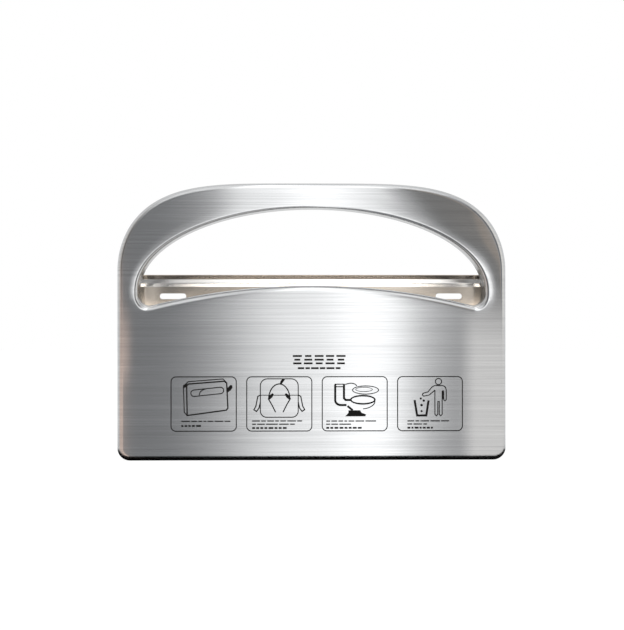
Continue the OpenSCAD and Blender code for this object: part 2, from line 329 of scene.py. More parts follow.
@dataclass(frozen=True)
class BrushedSteel:
    """Stainless steel sheet, brushed along its length with a 180 grit belt before it was formed.

    The belt's scratches run sideways over the front and on around the edges. They spread a reflection up and down
    and keep it sharp from side to side, so the sheet shows upright bands of the room and fine level streaks.
    """

    name: str
    colour: str
    streak_colour: str
    roughness: float = 0.175
    roughness_spread: float = 0.014  # the streaks are this much rougher and the sheet between them smoother
    grain: float = 1.0
    line_pitch: float = 1.2  # a belt scratch is 0.1 mm wide, too fine to show, so it is drawn this coarse
    line_length: float = 150.0
    line_detail: float = 5.0
    band_pitch: float = 11.0
    band_length: float = 900.0
    band_detail: float = 2.0
    band_share: float = 0.3  # weight of the broad bands against the fine lines
    noise_roughness: float = 0.62
    streak_below: float = 0.30  # noise under this has the streak's colour, and over plain_above the sheet's
    plain_above: float = 0.70
    wrap: float = 40.0  # how fast the grain turns front to back where the sheet bends round its sides
    wrap_power: float = 3.0
    relief: float = 0.08
    relief_h: float = 0.05
    front_y: float = -50.0
    dents: tuple[Dent, ...] = ()
    # strips of the colour painted lighter or darker, as painted highlight or shade
    painted_bands: tuple[PaintedLightBand, ...] = ()

    def streaks(self, tree: Tree, place: Socket, pitch: float, length: float, detail: float) -> Socket:
        """Add noise that is drawn out along the grain.

        Args:
            tree: The material's node tree.
            place: Place along and across the grain, in metres.
            pitch: Distance between streaks, in mm.
            length: Length of a streak, in mm.
            detail: How many finer layers the noise has.

        Returns:
            The noise's value.
        """
        along = 1 / (length * MM)
        scale = (along, along, 1 / (pitch * MM))
        scaled = add_node(tree, "ShaderNodeVectorMath", {0: place, 1: scale}, operation="MULTIPLY").outputs[0]
        noise = {"Vector": scaled, "Scale": 1.0, "Detail": detail, "Roughness": self.noise_roughness}
        return add_node(tree, "ShaderNodeTexNoise", noise).outputs["Fac"]

    def grain_way(self, tree: Tree, axes: bpy.types.Node) -> Socket:
        """Lead the grain sideways over the front and front to back on the side walls.

        Args:
            tree: The material's node tree.
            axes: The node that gives the place on the object, in metres.

        Returns:
            The direction of the scratches.
        """
        far = {0: axes.outputs["X"], 1: self.wrap_power}
        power = add_node(tree, "ShaderNodeMath", far, operation="POWER").outputs[0]
        turn = add_node(tree, "ShaderNodeMath", {0: power, 1: self.wrap}, operation="MULTIPLY").outputs[0]
        return add_node(tree, "ShaderNodeCombineXYZ", {"X": 1.0, "Y": turn}).outputs[0]

    @staticmethod
    def paint_light_band(tree: Tree, strip: PaintedLightBand, axes: bpy.types.Node, facing: bpy.types.Node, colour: Socket) -> Socket:
        """Paint a highlight or shade into the colour of one level strip of the side that faces the room.

        Args:
            tree: The material's node tree.
            strip: The strip.
            axes: The node that gives the place on the object, in metres.
            facing: The node that gives the way that the surface faces.
            colour: The sheet's colour without it.

        Returns:
            The colour with the strip.
        """
        band = soft_band(
            tree,
            axes.outputs["Z"],
            at(0, 0, strip.z).z,
            (strip.half_z - strip.edge_z) * MM,
            (strip.half_z + strip.edge_z) * MM,
            fade="LINEAR",
        )
        front = add_node(tree, "ShaderNodeMath", {0: facing.outputs["Y"], 1: 0.0}, operation="LESS_THAN").outputs[0]
        mask = add_node(tree, "ShaderNodeMath", {0: band, 1: front}, operation="MULTIPLY").outputs[0]
        tones = {0: mask, 6: colour, 7: linear(strip.colour)}
        return add_node(tree, "ShaderNodeMix", tones, data_type="RGBA").outputs[2]

    @staticmethod
    def press(tree: Tree, dent: Dent, axes: bpy.types.Node, normal: Socket) -> Socket:
        """Press one dent into the sheet.

        Args:
            tree: The material's node tree.
            dent: The dent.
            axes: The node that gives the place on the object, in metres.
            normal: The sheet's normal without the dent.

        Returns:
            The normal with the dent.
        """
        spot = at(dent.x, 0, dent.z)
        x, z = axes.outputs["X"], axes.outputs["Z"]
        leant = add_node(tree, "ShaderNodeMath", {0: z, 1: dent.lean, 2: x}, operation="MULTIPLY_ADD").outputs[0]
        mask = soft_patch(
            tree,
            (leant, spot.x + dent.lean * spot.z, (dent.half_x - dent.edge_x) * MM, (dent.half_x + dent.edge_x) * MM),
            (z, spot.z, (dent.half_z - dent.edge_z) * MM, (dent.half_z + dent.edge_z) * MM),
        )
        tilt = (math.radians(dent.turn), 0.0, 0.0)
        side = add_node(tree, "ShaderNodeVectorMath", {0: tilt, "Scale": mask}, operation="SCALE").outputs[0]
        turned = add_node(tree, "ShaderNodeVectorMath", {0: normal, 1: side}, operation="ADD").outputs[0]
        return add_node(tree, "ShaderNodeVectorMath", {0: turned}, operation="NORMALIZE").outputs[0]

    def build(self) -> bpy.types.Material:
        """Make the material.

        Returns:
            The finished material.
        """
        material, tree = new_material(self.name)
        where = add_node(tree, "ShaderNodeTexCoord").outputs["Object"]
        axes = add_node(tree, "ShaderNodeSeparateXYZ", {0: where})
        facing = add_node(tree, "ShaderNodeNewGeometry").outputs["Normal"]
        facing_axes = add_node(tree, "ShaderNodeSeparateXYZ", {0: facing})
        x, y, z = (axes.outputs[name] for name in "XYZ")
        # Height across the grain, carried on over edges that bend up or down
        behind = add_node(tree, "ShaderNodeMath", {0: y, 1: -self.front_y * MM}, operation="ADD").outputs[0]
        bent = {0: behind, 1: facing_axes.outputs["Z"], 2: z}
        carried = add_node(tree, "ShaderNodeMath", bent, operation="MULTIPLY_ADD").outputs[0]
        place = add_node(tree, "ShaderNodeCombineXYZ", {"X": x, "Y": y, "Z": carried}).outputs[0]
        lines = self.streaks(tree, place, self.line_pitch, self.line_length, self.line_detail)
        bands = self.streaks(tree, place, self.band_pitch, self.band_length, self.band_detail)
        mixed = {0: self.band_share, 2: lines, 3: bands}
        both = add_node(tree, "ShaderNodeMix", mixed, data_type="FLOAT").outputs[0]
        span = {"Value": both, "From Min": self.streak_below, "From Max": self.plain_above}
        tone = add_node(tree, "ShaderNodeMapRange", span).outputs[0]
        tones = {0: tone, 6: linear(self.streak_colour), 7: linear(self.colour)}
        colour = add_node(tree, "ShaderNodeMix", tones, data_type="RGBA").outputs[2]
        # painted highlight or shade in level strips of the colour
        for strip in self.painted_bands:
            colour = self.paint_light_band(tree, strip, axes, facing_axes, colour)
        roughest, smoothest = self.roughness + self.roughness_spread, self.roughness - self.roughness_spread
        span = {"Value": both, "To Min": roughest, "To Max": smoothest}
        rough = add_node(tree, "ShaderNodeMapRange", span).outputs[0]
        scratches = {"Strength": self.relief, "Distance": self.relief_h * MM, "Height": lines}
        bump = add_node(tree, "ShaderNodeBump", scratches).outputs[0]
        for dent in self.dents:
            bump = self.press(tree, dent, axes, bump)
        shader = add_node(
            tree,
            "ShaderNodeBsdfPrincipled",
            {
                "Base Color": colour,
                "Metallic": 1.0,
                "Roughness": rough,
                "Anisotropic": self.grain,
                "Anisotropic Rotation": 0.25,  # scratches spread light across themselves
                "Normal": bump,
                "Tangent": self.grain_way(tree, axes),
            },
        )
        add_node(tree, "ShaderNodeOutputMaterial", {"Surface": shader.outputs[0]})
        return material


SHELL_DENTS = (
    # the arch is turned a little against the lower front
    Dent(45, 120, 30, 285, 60, 12, 0.65),
    Dent(-20, 75, 30, 285, 60, 12, 0.45),
    # the drawn sheet pulls outwards near the right shoulder, most of all along its rim
    Dent(233, 110, 26, 252, 40, 15, 1.6, 1.195),
    Dent(196, 13, 9, 215, 48, 14, 2.2, 0.39),
    # it is a little hollow in the left stile, below the window's corner
    Dent(-204, 18, 12, 118, 34, 26, -1.5),
)
PLATE_DENTS = (
    # the plate's ends are bent a little by its flanges
    Dent(-172, 12, 12, 168, 14, 2, 2.0),
    Dent(174, 12, 12, 168, 14, 2, -1.2),
)
# Painted highlights: lighter colour along the bead and the strip over it, in place of bright reflections
PLATE_PAINTED_LIGHT = (
    PaintedLightBand(183.6, 4.0, 0.5, "#ECEAE7"),  # painted highlight on the bead, lighter colour in place of its bright reflection
    PaintedLightBand(190.2, 2.3, 0.3, "#E0D5C8"),  # a weaker painted highlight on the strip over it
)


@dataclass(frozen=True)
class ScreenInk:
    """Two-part screen printing ink on steel: a thin matt black film, a little uneven, that shows no streaks."""

    name: str = "screen_printed_black_ink"
    colour: str = "#070605"
    thin_colour: str = "#141210"
    thin_above: float = 0.45  # noise over this thins the film, and at thinnest it is all thin
    thinnest: float = 0.8
    roughness: float = 0.5
    thin_roughness: float = 0.68
    specular: float = 0.25
    mesh_pitch: float = 0.9
    mesh_detail: float = 3.0
    relief: float = 0.2
    relief_h: float = 0.02

    def build(self) -> bpy.types.Material:
        """Make the material.

        Returns:
            The finished material.
        """
        material, tree = new_material(self.name)
        where = add_node(tree, "ShaderNodeTexCoord").outputs["Object"]
        mesh = {"Vector": where, "Scale": 1 / (self.mesh_pitch * MM), "Detail": self.mesh_detail}
        film = add_node(tree, "ShaderNodeTexNoise", mesh).outputs["Fac"]
        span = {"Value": film, "From Min": self.thin_above, "From Max": self.thinnest}
        thin = add_node(tree, "ShaderNodeMapRange", span).outputs[0]
        tones = {0: thin, 6: linear(self.colour), 7: linear(self.thin_colour)}
        colour = add_node(tree, "ShaderNodeMix", tones, data_type="RGBA").outputs[2]
        span = {"Value": film, "To Min": self.roughness, "To Max": self.thin_roughness}
        rough = add_node(tree, "ShaderNodeMapRange", span).outputs[0]
        grit = {"Strength": self.relief, "Distance": self.relief_h * MM, "Height": film}
        bump = add_node(tree, "ShaderNodeBump", grit).outputs[0]
        shader = add_node(
            tree,
            "ShaderNodeBsdfPrincipled",
            {"Base Color": colour, "Roughness": rough, "Specular IOR Level": self.specular, "Normal": bump},
        )
        add_node(tree, "ShaderNodeOutputMaterial", {"Surface": shader.outputs[0]})
        return material


# Sheet metal


@dataclass(frozen=True)
class RimPoint:
    """A point of an outline in the front's plane, with the unit vector that points out of the outline there."""

    x: float
    z: float
    out_x: float
    out_z: float

    def placed(self, shift: float, y: float) -> Vector:
        """The point moved out by shift mm, at depth y mm, in the part's frame."""
        return at(self.x + shift * self.out_x, y, self.z + shift * self.out_z)


@dataclass
class FrontShell:
    """The drawn shell: flat front, rounded edge, walls back to the wall and a window with a turned-in lip."""

    steel: bpy.types.Material
    width: float = 400.0
    height: float = 285.0
    depth: float = 50.0
    sheet: float = 1.0
    edge_r: float = 6.0
    corner_r: float = 13.0
    shoulder_h: float = 90.0
    shoulder_exp: float = 0.444
    arch_h: float = 25.5
    stile_w: float = 21.5
    window_h: float = 79.7
    window_rise: float = 84.5
    sill_r: float = 680.0
    window_corner_r: float = 11.0
    sill_roll: float = 6.5  # radius of the lip's roll at the sill, beside the window and over it
    stile_roll: float = 4.0
    arch_roll: float = 3.2
    stile_slope: float = 3.4  # how far the stiles fall away, in degrees, before the roll starts
    level_slope: float = 1.2
    slope_ease: float = 1.5  # how quickly that slope is lost from a stile round to the sill
    run_up: float = 8.0
    lip_d: float = 24.0
    load_w: float = 330.0
    load_lip: float = 22.0
    load_ramp: float = 10.0
    margin: float = 7.0  # width of the ring of faces along the outline, more than the edge's radius
    bottom_steps: int = 22
    corner_steps: int = 12
    side_steps: int = 8
    top_steps: int = 72
    run_up_steps: int = 7
    roll_steps: int = 12
    edge_steps: int = 12
    edge_break: float = 0.2

    def half_outline(self) -> list[RimPoint]:
        """Right half of the silhouette, from the middle of the bottom to the middle of the top.

        Returns:
            Its points in order.
        """
        half = self.width / 2
        shoulder_z = self.height - self.shoulder_h
        cut, ramp_end, flat_end = self.load_w / 2, self.load_w / 2 + self.load_ramp, half - self.corner_r
        level = self.bottom_steps - 4  # two steps go to the cut-out's ramp and two to the rest of the flat
        along = [cut * i / level for i in range(level + 1)] + [(cut + ramp_end) / 2, ramp_end]
        along += [ramp_end + (flat_end - ramp_end) * i / 2 for i in (1, 2)]
        points = [RimPoint(x, 0.0, 0.0, -1.0) for x in along]
        for i in range(1, self.corner_steps + 1):
            a = math.radians(270 + 90 * i / self.corner_steps)
            points.append(
                RimPoint(
                    flat_end + self.corner_r * math.cos(a), self.corner_r * (1 + math.sin(a)), math.cos(a), math.sin(a)
                )
            )
        rise = shoulder_z - self.corner_r
        points += [
            RimPoint(half, self.corner_r + rise * i / self.side_steps, 1.0, 0.0) for i in range(1, self.side_steps + 1)
        ]
        for i in range(1, self.top_steps + 1):
            a = math.pi / 2 * i / self.top_steps
            slope = Vector(
                (
                    self.shoulder_h * max(math.cos(a), 0.0) ** (2 - self.shoulder_exp),
                    half * self.shoulder_exp * math.sin(a),
                )
            ).normalized()
            across = half * max(math.cos(a), 0.0) ** self.shoulder_exp if i < self.top_steps else 0.0
            points.append(RimPoint(across, shoulder_z + self.shoulder_h * math.sin(a), slope.x, slope.y))
        return points

    def half_window(self) -> list[RimPoint]:
        """Right half of the window's outline, from the middle of the sill to the middle of the arch.

        Returns:
            Its points in order, as many as the silhouette has.
        """
        reach = self.width / 2 - self.stile_w
        line_z = self.height - self.arch_h - self.window_rise
        centre_z = self.height - self.arch_h - self.window_h - self.sill_r
        in_x = reach - self.window_corner_r
        corner_z = centre_z + math.sqrt((self.sill_r + self.window_corner_r) ** 2 - in_x**2)
        end = math.atan2(corner_z - centre_z, in_x)
        points = []
        for i in range(self.bottom_steps + 1):
            a = math.pi / 2 - (math.pi / 2 - end) * i / self.bottom_steps
            points.append(
                RimPoint(self.sill_r * math.cos(a), centre_z + self.sill_r * math.sin(a), -math.cos(a), -math.sin(a))
            )
        for i in range(1, self.corner_steps + 1):
            a = end - math.pi + (math.pi - end) * i / self.corner_steps
            points.append(
                RimPoint(
                    in_x + self.window_corner_r * math.cos(a),
                    corner_z + self.window_corner_r * math.sin(a),
                    math.cos(a),
                    math.sin(a),
                )
            )
        points += [
            RimPoint(reach, corner_z + (line_z - corner_z) * i / self.side_steps, 1.0, 0.0)
            for i in range(1, self.side_steps + 1)
        ]
        for i in range(1, self.top_steps + 1):
            a = math.pi / 2 * i / self.top_steps
            out = Vector((self.window_rise * math.cos(a), reach * math.sin(a))).normalized()
            points.append(RimPoint(reach * math.cos(a), line_z + self.window_rise * math.sin(a), out.x, out.y))
        return points

    @staticmethod
    def full(half: Sequence[RimPoint]) -> list[RimPoint]:
        """Close a half outline with its mirror image."""
        return list(half) + [RimPoint(-p.x, p.z, -p.out_x, p.out_z) for p in reversed(half[1:-1])]

    def scribe(self, name: str, places: Sequence[Vector], fill: str) -> bpy.types.Object:
        """Scribe a closed line.

        Args:
            name: The new object's name.
            places: The line's points, in metres.
            fill: The circle's fill type: NGON for a filled blank, NOTHING for the line alone.

        Returns:
            The line or blank.
        """
        deselect_all()
        bpy.ops.mesh.primitive_circle_add(vertices=len(places), radius=self.width / 2 * MM, fill_type=fill)
        line = bpy.context.object
        line.name = name
        for vertex, place in zip(line.data.vertices, places):
            vertex.co = place
        return line

    def lip_section(self, point: RimPoint) -> list[tuple[float, float]]:
        """Section of the lip at one point of the window's outline: a soft run-up, a roll and a wall.

        Args:
            point: The point.

        Returns:
            Distance outside the outline and depth behind the front, in mm, from the flat front inwards.
        """
        # How far the point belongs to the sill or to the arch, and not to a stile
        low, high = max(-point.out_z, 0.0) ** 2, max(point.out_z, 0.0)
        roll = self.stile_roll + low * (self.sill_roll - self.stile_roll) + high * (self.arch_roll - self.stile_roll)
        steep = (1 - abs(point.out_z)) ** self.slope_ease if point.out_z < 0 else 1 - point.out_z**2
        slope = math.radians(self.level_slope + steep * (self.stile_slope - self.level_slope))
        start = roll * (1 - math.sin(slope))
        sunk = self.run_up * math.tan(slope) / 2
        section = []
        for i in range(self.run_up_steps + 1):
            share = i / self.run_up_steps
            section.append((start + self.run_up * (1 - share), sunk * share**2))
        for i in range(1, self.roll_steps + 1):
            angle = slope + (math.pi / 2 - slope) * i / self.roll_steps
            section.append((roll * (1 - math.sin(angle)), sunk + roll * (math.cos(slope) - math.cos(angle))))
        section.append((0.0, self.lip_d))
        return section

    def turn_lip_in(
        self, shell: bpy.types.Object, window: Sequence[RimPoint], sections: Sequence[Sequence[tuple[float, float]]]
    ) -> None:
        """Turn the sheet in around the window, loop after loop from the flat front.

        Args:
            shell: The shell in edit mode.
            window: The window's outline.
            sections: The lip's section at each of its points.
        """
        here = {tuple(p.placed(s[0][0], s[0][1] - self.depth)): i for i, (p, s) in enumerate(zip(window, sections))}
        for step in range(1, len(sections[0])):
            pick(shell, Part.EDGE, lambda e: all(tuple(v.co) in here for v in e.verts))
            draw_out(0, 0, 0)
            mesh = bmesh.from_edit_mesh(shell.data)
            placed = {}
            for vertex in mesh.verts:
                if vertex.select:
                    i = here[tuple(vertex.co)]
                    shift, depth = sections[i][step]
                    vertex.co = window[i].placed(shift, depth - self.depth)
                    placed[tuple(vertex.co)] = i
            here = placed
            bmesh.update_edit_mesh(shell.data)

    def build(self) -> bpy.types.Object:
        """Press the shell out of its blanks.

        Returns:
            The finished shell.
        """
        rim = self.full(self.half_outline())
        window = self.full(self.half_window())
        sections = [self.lip_section(p) for p in window]
        count = len(rim)
        shell = self.scribe("shell_sheet", [p.placed(0.0, -self.depth) for p in rim], "NGON")
        bpy.ops.object.mode_set(mode="EDIT")
        bpy.ops.mesh.select_all(action="SELECT")
        bpy.ops.mesh.inset(thickness=self.margin * MM, use_even_offset=True)
        bpy.ops.mesh.delete(type="FACE")
        bpy.ops.object.mode_set(mode="OBJECT")
        line = self.scribe(
            "window_line", [p.placed(s[0][0], -self.depth) for p, s in zip(window, sections)], "NOTHING"
        )
        hold(shell, line)
        bpy.ops.object.join()
        bpy.ops.object.mode_set(mode="EDIT")

        def on_loop(edge: bmesh.types.BMEdge, loops: tuple[int, ...]) -> bool:
            """Whether an edge runs along one of the three loops of the ring and the line."""
            first, second = (v.index // count for v in edge.verts)
            return first in loops and first == second

        pick(shell, Part.EDGE, lambda e: not e.is_manifold and on_loop(e, (1, 2)))
        bpy.ops.mesh.fill(use_beauty=True)
        pick(shell, Part.EDGE, lambda e: e.is_boundary and on_loop(e, (0,)))
        draw_out(0, self.depth * MM, 0)
        self.cut_for_loading(shell)
        pick(shell, Part.EDGE, lambda e: on_loop(e, (0,)) and self.at_front(e))
        bpy.ops.mesh.bevel(
            offset=self.edge_r * MM, offset_type="OFFSET", segments=self.edge_steps, profile=0.5, affect="EDGES"
        )
        self.turn_lip_in(shell, window, sections)
        face_room(shell, -self.depth * MM)
        bpy.ops.object.mode_set(mode="OBJECT")
        thicken(shell, self.sheet)
        deburr(shell, self.edge_break)
        dress(shell, self.steel)
        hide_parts("front_shell")
        return shell

    def at_front(self, edge: bmesh.types.BMEdge) -> bool:
        """Whether an edge lies in the front's plane."""
        return all(abs(v.co.y + self.depth * MM) < CLOSE for v in edge.verts)

    def cut_for_loading(self, shell: bpy.types.Object) -> None:
        """Step the bottom wall's rear edge forward, where a pack of covers is pushed in.

        Args:
            shell: The shell in edit mode.
        """
        step = (self.depth - self.load_lip) * MM
        floor_z = at(0, 0, 0).z
        half_cut, ramp_end = self.load_w / 2 * MM, (self.load_w / 2 + self.load_ramp) * MM
        middle = (half_cut + ramp_end) / 2
        # The cut-out goes the whole way, and the middle of each ramp half of it
        for share, low, high in ((1.0, 0.0, half_cut), (0.5, middle, middle)):

            def at_rear(vertex: bmesh.types.BMVert) -> bool:
                """Whether a vertex is on this stretch of the bottom wall's rear edge."""
                on_edge = abs(vertex.co.y) < CLOSE and abs(vertex.co.z - floor_z) < CLOSE
                return on_edge and low - CLOSE <= abs(vertex.co.x) <= high + CLOSE

            pick(shell, Part.VERT, at_rear)
            bpy.ops.transform.translate(value=(0, -step * share, 0))


@dataclass
class WallPlate:
    """The flat wall plate: a pressed bead near its top edge, four screw slots and two side flanges."""

    steel: bpy.types.Material
    width: float = 397.8
    sheet: float = 1.0
    foot: float = 16.0
    top: float = 191.8
    bead_z: float = 179.3
    bead_h: float = 8.5
    bead_d: float = 1.05
    bead_round: float = 0.15  # share of the bead's half height that is rounded at its foot and crest
    strip_lean: float = 2.6  # how far the strip over the bead leans forward at its top edge
    bead_steps: int = 28
    bend_r: float = 1.5
    bend_steps: int = 6
    flange_d: float = 15.0
    flange_low: float = 24.0
    flange_high: float = 171.3
    relief: float = 2.0
    slot_w: float = 6.0
    slot_len: float = 28.0
    slot_x: float = 147.0
    slot_heights: tuple[float, float] = (32.0, 169.5)
    slot_steps: int = 48
    punch_d: float = 6.0
    edge_break: float = 0.15

    def build(self) -> bpy.types.Object:
        """Press and cut the plate.

        Returns:
            The finished plate.
        """
        plate = self.press_sheet()
        self.cut_slots(plate)
        deburr(plate, self.edge_break)
        dress(plate, self.steel)
        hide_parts("back_plate")
        return plate

    def fold_x(self) -> float:
        """Distance from the middle to where the flanges' bends start, in mm."""
        return self.width / 2 - (self.bend_r + self.sheet)

    def press_sheet(self) -> bpy.types.Object:
        """Make the sheet with its bead and flanges.

        Returns:
            The sheet, still without slots.
        """
        deselect_all()
        bpy.ops.mesh.primitive_plane_add(size=1)
        plate = bpy.context.object
        plate.name = "wall_plate_sheet"
        for vertex in plate.data.vertices:
            z = self.bead_z if vertex.co.y > 0 else self.foot
            vertex.co = at(math.copysign(self.width / 2, vertex.co.x), -self.sheet, z)
        bpy.ops.object.mode_set(mode="EDIT")
        # Cross cuts for the flanges and their relief notches
        for z in (self.flange_low - self.relief, self.flange_low, self.flange_high, self.flange_high + self.relief):
            bpy.ops.mesh.select_all(action="SELECT")
            bpy.ops.mesh.bisect(plane_co=at(0, 0, z), plane_no=(0, 0, 1))
        for side in (-1, 1):
            bpy.ops.mesh.select_all(action="SELECT")
            bpy.ops.mesh.bisect(plane_co=at(side * self.fold_x(), 0, 0), plane_no=(1, 0, 0))
        self.draw_bead(plate)
        self.bend_flanges(plate)
        face_room(plate, -self.sheet * MM)
        bpy.ops.object.mode_set(mode="OBJECT")
        thicken(plate, self.sheet)
        for vertex in plate.data.vertices:
            vertex.co.y = min(vertex.co.y, 0.0)  # its back lies flat on the wall
        return plate

    def draw_bead(self, plate: bpy.types.Object) -> None:
        """Draw the bead up step by step from the plate's top edge, and then the strip over it.

        Args:
            plate: The sheet in edit mode.
        """
        level = at(0, 0, self.bead_z).z
        step = self.bead_h / self.bead_steps
        reached = -self.sheet

        def on_top(edge: bmesh.types.BMEdge) -> bool:
            """Whether an edge lies along the sheet's top, as far as it is drawn."""
            return all(abs(v.co.z - level) < CLOSE for v in edge.verts)

        for i in range(1, self.bead_steps + 1):
            depth = -self.sheet - self.bead_d * self.swell(i / self.bead_steps)
            pick(plate, Part.EDGE, on_top)
            draw_out(0, (depth - reached) * MM, step * MM)
            reached = depth
            level += step * MM
        pick(plate, Part.EDGE, on_top)
        draw_out(0, -self.strip_lean * MM, (self.top - self.bead_z - self.bead_h) * MM)

    def bend_flanges(self, plate: bpy.types.Object) -> None:
        """Cut the sheet's sides away for the bends, then bend the two flanges towards the room.

        Args:
            plate: The sheet in edit mode.
        """
        fold, bend = self.fold_x(), self.bend_r + self.sheet
        cut_low, cut_high = at(0, 0, self.flange_low - self.relief).z, at(0, 0, self.flange_high + self.relief).z
        low, high = at(0, 0, self.flange_low).z, at(0, 0, self.flange_high).z

        def beside(face: bmesh.types.BMFace) -> bool:
            """Whether a face lies beside the flat plate, where a flange or its notch goes."""
            middle = face.calc_center_median()
            return abs(middle.x) > fold * MM and cut_low < middle.z < cut_high

        pick(plate, Part.FACE, beside)
        bpy.ops.mesh.delete(type="FACE")
        angles = [math.pi / 2 * i / self.bend_steps for i in range(1, self.bend_steps + 1)]
        path = [(fold + self.bend_r * math.sin(a), -bend + self.bend_r * math.cos(a)) for a in angles]
        path.append((self.width / 2 - self.sheet, -self.flange_d))
        for side in (-1, 1):
            x, y = fold, -self.sheet
            for next_x, next_y in path:
                here = at(side * x, y, 0)

                def on_end(edge: bmesh.types.BMEdge) -> bool:
                    """Whether an edge lies along the flange's end, as far as it is bent."""
                    return all(
                        abs(v.co.x - here.x) < CLOSE
                        and abs(v.co.y - here.y) < CLOSE
                        and low - CLOSE < v.co.z < high + CLOSE
                        for v in edge.verts
                    )

                pick(plate, Part.EDGE, on_end)
                draw_out(side * (next_x - x) * MM, (next_y - y) * MM, 0)
                x, y = next_x, next_y

    def swell(self, share: float) -> float:
        """Height of the bead's section, two slopes with a rounded foot and crest.

        Args:
            share: Place across the bead, from 0 to 1.

        Returns:
            The height there, as a share of the crest's.
        """
        up = 1 - abs(2 * share - 1)
        soft = self.bead_round
        if up < soft:
            return up**2 / (2 * soft) / (1 - soft)
        if up > 1 - soft:
            return 1 - (1 - up) ** 2 / (2 * soft) / (1 - soft)
        return (up - soft / 2) / (1 - soft)

    def cut_slots(self, plate: bpy.types.Object) -> None:
        """Punch the four screw slots.

        Args:
            plate: The sheet that is punched.
        """
        straight = self.slot_len - self.slot_w
        for x in (-self.slot_x, self.slot_x):
            for z in self.slot_heights:
                deselect_all()
                bpy.ops.mesh.primitive_cylinder_add(
                    vertices=self.slot_steps,
                    radius=self.slot_w / 2 * MM,
                    depth=self.punch_d * MM,
                    rotation=(math.pi / 2, 0, 0),
                )
                punch = bpy.context.object
                bpy.ops.object.transform_apply(location=True, rotation=True, scale=True)
                bpy.ops.object.mode_set(mode="EDIT")
                bpy.ops.mesh.select_all(action="SELECT")
                bpy.ops.transform.translate(value=at(x - straight / 2, 0, z))
                pick(punch, Part.VERT, lambda v: v.co.x > (x - straight / 2) * MM + CLOSE)
                bpy.ops.transform.translate(value=(straight * MM, 0, 0))
                bpy.ops.object.mode_set(mode="OBJECT")
                finish_with(plate, "BOOLEAN", operation="DIFFERENCE", solver="EXACT", object=punch)
                bpy.data.objects.remove(punch)


@dataclass
class ScreenPrint:
    """The heading and the four panels printed on the front, whose CAD shapes are right and only need their ink."""

    ink: bpy.types.Material
    nodes: tuple[str, ...] = PRINT_NODES

    def build(self, frame: dict[str, Any]) -> list[bpy.types.Object]:
        """Lay the ink on every printed node.


        Returns:
            The printed nodes.
        """
        prints = [frame["nodes"][name] for name in self.nodes]
        for obj in prints:
            dress(obj, self.ink)
        return prints


# Studio


@dataclass(frozen=True)
class Card:
    """A soft-edged card or softbox far off in the room, seen from the object."""

    azimuth: float  # degrees from straight in front, to the right
    half_width: float
    edge: float
    elevation: float
    half_height: float
    edge_up: float
    colour: str
    strength: float


@dataclass(frozen=True)
class NearCard:
    """A card near the object that only the steel sees, between two corners on the drawing, in mm."""

    name: str
    colour: str
    strength: float  # 0 for a black flag
    low: tuple[float, float, float]
    high: tuple[float, float, float]
    fade: float = 0.0  # how wide its see-through edges are, in mm


class Backdrop(Enum):
    """Colours of what stands still around the object."""

    PAPER = "#FFFFFF"
    FLOOR = "#E4E3E0"
    ROOM = "#8B8C90"


CARDS = (
    # pale room far out at both sides, with grey and tan strips in it beside the front
    Card(-75, 27, 14, 0, 60, 12, "#E2DEDA", 1.1),
    Card(-33, 11, 5, 0, 60, 12, "#6E6B69", 0.85),
    Card(-14, 9.4, 2.2, 0, 40, 12, "#77787A", 1.02),
    Card(-14, 9.4, 2.2, -31, 34, 8, "#8E8F91", 1.12),
    Card(75, 60, 4, 0, 70, 10, "#F6F3EE", 1.3),
    Card(31, 13, 6, 0, 60, 12, "#85868A", 0.9),
    Card(15.5, 2.6, 1.6, 20, 40, 3, "#BDB1A6", 0.85),
    Card(11.0, 2.6, 1.2, 20, 30, 3, "#BDBCBA", 0.48),
    # broad soft card and tall softbox beside the camera
    Card(2.3, 6.1, 2.2, 0, 75, 14, "#FFFFFF", 0.74),
    Card(1.7, 3.3, 1.9, 0, 75, 14, "#FFFFFF", 1.45),
    Card(4.0, 1.6, 0.75, 0, 75, 14, "#FFFFFF", 2.1),
    # softbox overhead, stronger in front
    Card(0, 181, 1, 90, 50, 8, "#FFFFFF", 1.0),
    Card(24, 16, 4, 80, 40, 8, "#FFFFFF", 1.6),
    Card(-20, 17, 4, 80, 54, 7, "#FFFFFF", 1.3),
    Card(3.2, 6.7, 1.5, 78, 54, 7, "#FFFFFF", 2.4),
)
NEAR_CARDS = (
    # a black flag on the floor under the object, which the bottom edge mirrors: painted shade, a dark sheet put in for
    # the shade where the bottom wall meets the floor
    NearCard("studio_flag", "#030303", 0.0, (-260, -60, -0.25), (260, 20, -0.25)),
    # a cream card in the pocket just behind the front, which the plate and its bead mirror
    NearCard("studio_fill", "#FFF8F0", 3.5, (-187, -47.5, 141), (187, -47.5, 160)),
    # a pale card low at the right and a warm one low at the left
    NearCard("studio_right_card", "#F6F4F2", 1.15, (170, -200, -250), (1100, -200, 160), 24),
    NearCard("studio_left_card", "#E3CDC1", 1.2, (-1100, -400, -250), (-230, -400, 176), 32),
)


